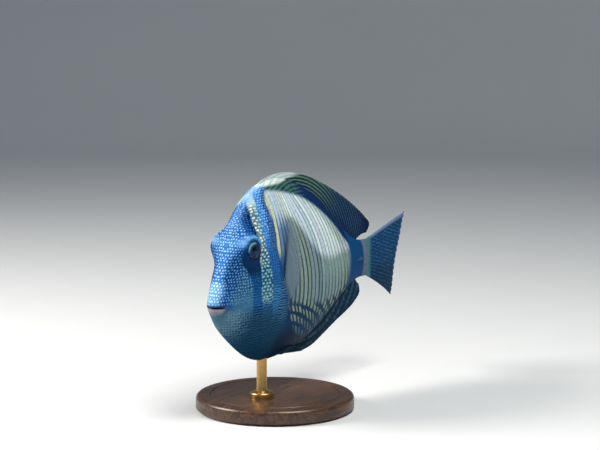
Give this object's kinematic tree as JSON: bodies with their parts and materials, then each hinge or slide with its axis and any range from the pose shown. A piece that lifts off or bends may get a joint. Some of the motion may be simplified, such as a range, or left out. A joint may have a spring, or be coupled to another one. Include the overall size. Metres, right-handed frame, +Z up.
{
  "type": "sailfin tang model",
  "caption": "Life-size model of a swimming sailfin tang, a tall flat reef fish, held up by a rod on a round display base.",
  "frame": {"origin": "centre of the stand base's underside, under the fish's centre of mass", "axes": "+Z up, -X towards the fish's snout, -Y towards its left side, which faces the picture's camera"},
  "size_m": [0.2307, 0.108, 0.1604],
  "materials": {
    "head_skin": "wet scaly skin, blue with pale spots",
    "flank_skin": "wet scaly skin, pale bars on dark slate",
    "fin_membrane": "thin rayed membrane, dark blue with pale lines",
    "clear_fin": "thin clear membrane with pale rays",
    "spine": "smooth pale bone",
    "eye": "wet clear cornea over a dark pupil and a greenish iris",
    "wood": "dark oiled hardwood",
    "brass": "satin brass"
  },
  "bodies": {
    "root": {"head": "head_skin", "gill_cover_left": "head_skin", "gill_cover_right": "head_skin", "trunk": "flank_skin", "tail_stalk": "head_skin", "tail_spine_left": "spine", "tail_spine_right": "spine", "dorsal_fin": "fin_membrane", "anal_fin": "fin_membrane", "tail_fin": "fin_membrane", "pelvic_fin_left": "fin_membrane", "pelvic_fin_right": "fin_membrane", "pectoral_fin_left": "clear_fin", "pectoral_fin_right": "clear_fin", "eye_left": "eye", "eye_right": "eye", "stand_base": "wood", "stand_rod": "brass"}
  },
  "joints": []
}
